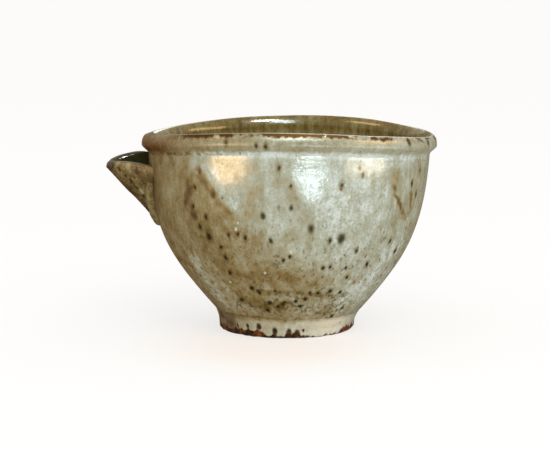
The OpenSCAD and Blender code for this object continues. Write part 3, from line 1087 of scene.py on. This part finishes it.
def foot_finish(name):
    """Glaze over bare clay, for a piece of the foot."""
    material, shader, place = start(name)
    loose = wander(place, 3, 0.9)
    turn = turn_round(place, 0)
    z = split(loose)[2]
    belly = (z + (noise(place, 6) - 0.5) * 3).step(5.6, 8.8)
    belly_thick = turn.step(30, 60) * 0.22 + 0.38
    thick = along_turn(turn, FOOT_THICK) * (1 - belly) + belly * belly_thick + cloudy(place)
    bare_z = along_turn(turn, BARE_ROUND) * BARE_TOP + (noise(tall(place, 0.5), 2.0) - 0.5) * 4
    bare = (bare_z - z).step(-0.3, 0.4)
    milk = along_turn(turn, FOOT_MILK) * noise(place, 5).step(0.20, 0.5) * (1 - belly)
    fired = noise(place, 3) + turn.step(-44, -56) * 0.14 + turn.step(40, 58) * 0.12
    colour = thick.ramp(THICKNESS).paint(PALE, milk * 0.95).paint(fired.ramp(FIRED_CLAY), bare)
    colour = colour.paint(RUST, nearest(loose, foot_ring, FOOT_RUST).step(1.3, 0.5) * 0.9)
    chips = nearest(loose, foot_ring, FOOT_IRON).step(1.3, 0.5)
    colour = colour.paint(CHIP, chips * 0.9)
    scorch = turn.step(-42, -54) * turn.step(-150, -120) * noise(place, 2.2).step(0.42, 0.66)
    colour = colour.paint(CHIP, scorch * 0.7)
    colour = colour.paint(OLIVE, specks(loose, 2.4, 0.55, belly * 0.4 + 0.10) * 0.65)
    rough = thick.step(0.75, 0.4) * 0.3 + bare * 0.3 + 0.22
    lustre = bare.most(chips) * 0.65
    skin(shader, place, colour, rough, peel(place) + bare * noise(place, 0.7) * 0.12, lustre)
    return material


FINISHES = {
    "bowl": bowl_glaze,
    "spout": spout_glaze,
    "spout_coil": bead_glaze,
    "foot_ring": foot_finish("foot_ring_finish"),
    "foot_coil": foot_finish("foot_coil_finish"),
}
for name, piece in PIECES.items():
    piece.data.materials.clear()
    piece.data.materials.append(FINISHES[name])
print("finishes:", [m.name for m in FINISHES.values()])

# %% [markdown]
# The set is a plain white table that runs out to a white room. To the camera and in mirrors the table
# partly shines by itself, so it stays white, and partly takes the light, so the shadow stays too. Right
# in front of the foot a warm shadow is painted on its top, creamy and fading out to white.

# %% The table and the room
FLOOR_GLOW, GLOW_STRENGTH, ROOM_LIGHT = 0.68, 1.02, 0.92
GLOW_COLOUR, ROOM_COLOUR = (1, 0.995, 0.995, 1), shade(252, 251, 249)
WARM_SHADOW_MIDDLE, WARM_SHADOW_NEAR, WARM_SHADOW_FAR = (-6, -42, 0), 12, 60
TABLE_AND_WARM_SHADOW = [(0.0, shade(250, 222, 184)), (1.0, shade(252, 250, 246))]
bpy.ops.object.select_all(action="DESELECT")
bpy.ops.mesh.primitive_plane_add(size=60)
floor = bpy.context.object
floor.name = "floor"
table, shader, place = start("white_table")
tree = table.node_tree
# Painted warm shadow: creamy in front of the foot, white further away.
away = place.vector("DISTANCE", WARM_SHADOW_MIDDLE, out="Value").step(WARM_SHADOW_NEAR, WARM_SHADOW_FAR)
away.ramp(TABLE_AND_WARM_SHADOW).into(shader, "Base Color")
shader.inputs["Specular IOR Level"].default_value = 0.0


def seen(tree):
    """1 for rays that the camera or a mirroring surface sends, 0 for the light on the object."""
    kinds = ("Is Camera Ray", "Is Glossy Ray", "Is Transmission Ray")
    return reduce(Field.most, [Field(tree).node("ShaderNodeLightPath", {}, {}, kind) for kind in kinds])


glow = Field(tree).node("ShaderNodeEmission", {}, {"Color": GLOW_COLOUR, "Strength": GLOW_STRENGTH})
diffuse = Field(tree, shader.outputs[0])
both = glow.node("ShaderNodeMixShader", {}, {0: seen(tree) * FLOOR_GLOW, 1: diffuse, 2: glow})
both.into(tree.nodes["Material Output"], "Surface")
floor.data.materials.append(table)

room = bpy.data.worlds.new("white_room")
bpy.context.scene.world = room
room.use_nodes = True
tree = room.node_tree
rays = seen(tree)
level = rays.node("ShaderNodeMapRange", {}, {"Value": rays, "To Min": ROOM_LIGHT, "To Max": 1.0})
tree.nodes["Background"].inputs["Color"].default_value = ROOM_COLOUR
level.into(tree.nodes["Background"], "Strength")
bpy.context.scene.view_settings.view_transform = "Standard"
print("table and room ready")

# %% [markdown]
# On a white table a shiny pot loses its edges, because they mirror the table behind it. So a grey sheet
# lies there and stands up further back. Only the glaze sees it: the camera and the light do not.

# %% The grey sheet behind
SHEET_FRONT, SHEET_BACK, SHEET_LOW, SHEET_HIGH, SHEET_HALF = -40, 1200, 1, 500, 1500
CARD_GREY = shade(128, 118, 104)


def panel(name, corners, material):
    """A flat panel with four corners in mm that only mirroring surfaces see."""
    bpy.ops.object.select_all(action="DESELECT")
    bpy.ops.mesh.primitive_plane_add(size=1)
    made = bpy.context.object
    made.name = name
    for vertex, corner in zip(made.data.vertices, corners):
        vertex.co = Vector(corner) * MM
    made.visible_camera = made.visible_diffuse = made.visible_shadow = False
    made.data.materials.append(material)


card = bpy.data.materials.new("grey_card")
card.use_nodes = True
card_shader = card.node_tree.nodes["Principled BSDF"]
for name, value in (("Base Color", CARD_GREY), ("Roughness", 1.0), ("Specular IOR Level", 0.0)):
    card_shader.inputs[name].default_value = value
front, back_low, back_high = [
    [(-SHEET_HALF, y, z), (SHEET_HALF, y, z)]
    for y, z in ((SHEET_FRONT, SHEET_LOW), (SHEET_BACK, SHEET_LOW), (SHEET_BACK, SHEET_HIGH))
]
panel("sheet_flat", front + back_low, card)
panel("sheet_back", back_low + back_high, card)
print("grey sheet ready")

# %% [markdown]
# The glints are soft panels. Each is written as the four corners where its glint is seen in the glaze,
# and hung where the mirrored rays go: on the table for the outer wall, which leans out, and in the room
# for the inside, which leans back. After the corners come the colour, the strength and how many mm the
# panel stands up at its far end, which lets a glint reach higher up the wall.

# %% The glints
PANEL_Z, LEAST_FALL, ROOM_AWAY = 3.0, 0.03, 1200.0
COOL, WARM, CREAM = (0.74, 0.93, 1.0, 1), (1.0, 0.64, 0.31, 1), (1.0, 0.90, 0.74, 1)
GLINTS = {
    "cool": ([(310, 197), (316, 197), (293, 171), (328, 171)], COOL, 30, 5),
    "warm": ([(219, 181), (226, 181), (211, 167), (248, 167)], WARM, 28, 80),
    "pale": ([(347, 169), (386, 169), (345, 165), (386, 165)], CREAM, 22, 50),
    "inner_cool": ([(272, 123), (294, 123), (272, 120), (294, 120)], COOL, 40, 0),
    "inner_warm": ([(190, 131), (226, 128), (190, 129), (226, 126)], WARM, 14, 0),
    "inner_orange": ([(351, 123), (378, 126), (351, 121), (378, 124)], WARM, 16, 0),
}


def mirrored(piece, pixel, away=ROOM_AWAY):
    """Place in mm that a piece mirrors at a pixel: on the table, or so far away in the room."""
    look = sight_line(pixel)
    met, place, normal, face = piece.ray_cast(CAMERA_PLACE, look)
    ray = look.reflect(normal)
    if ray.z > 0 or (place - CAMERA_PLACE).length > CAMERA_PLACE.length:
        return place / MM + ray * away
    fall = max(LEAST_FALL, -ray.z)
    return place / MM + ray * ((place.z / MM - PANEL_Z) / fall)


for name, (pixels, colour, strength, stands) in GLINTS.items():
    light = bpy.data.materials.new(name + "_light")
    light.use_nodes = True
    tree = light.node_tree
    shine = Field(tree).node("ShaderNodeEmission", {}, {"Color": colour, "Strength": strength})
    shine.into(tree.nodes["Material Output"], "Surface")
    corners = [mirrored(bowl, pixel) for pixel in pixels]
    panel(name + "_panel", corners, light)
    if stands:
        far_end = corners[2:]
        panel(name + "_screen", far_end + [corner + Vector((0, 0, stands)) for corner in far_end], light)
    print(name, [[round(c) for c in corner] for corner in corners])

# %% [markdown]
# A soft lamp in front, over the right shoulder, lights the clay. Two more only glint in the glaze: a
# window high behind draws the line along the lip, and a small lamp shows in the trough of the spout.

# %% The lamps
LAMP_AIM = Vector((0, 0, 50))
TROUGH_GLINT, TROUGH_LAMP_AWAY = (124, 156), 170


def area_lamp(name, place, size, strength):
    """A lamp at a place in mm, facing the bowl, with a size in mm, as bright as strength times white."""
    aim = (LAMP_AIM - place).to_track_quat("-Z", "Y").to_euler()
    bpy.ops.object.select_all(action="DESELECT")
    bpy.ops.object.light_add(type="AREA", location=place * MM, rotation=aim)
    lamp = bpy.context.object
    lamp.name = name
    lamp.data.size = size * MM
    lamp.data.energy = strength * math.pi * (size * MM) ** 2
    lamp.visible_camera = False
    return lamp


area_lamp("soft_lamp", Vector((250, -900, 1000)), size=900, strength=1.5)
back_window = area_lamp("back_window", Vector((195, 1386, 800)), size=500, strength=4.5)
trough_place = mirrored(spout, TROUGH_GLINT, TROUGH_LAMP_AWAY)
trough_lamp = area_lamp("trough_lamp", trough_place, size=34, strength=130)
trough_lamp.visible_diffuse = back_window.visible_diffuse = False

# %% [markdown]
# At the end every piece is hung on the frame and takes the place of its measured node.

# %% Riding on the frame
for name, piece in PIECES.items():
    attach(piece, "root")
    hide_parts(name)
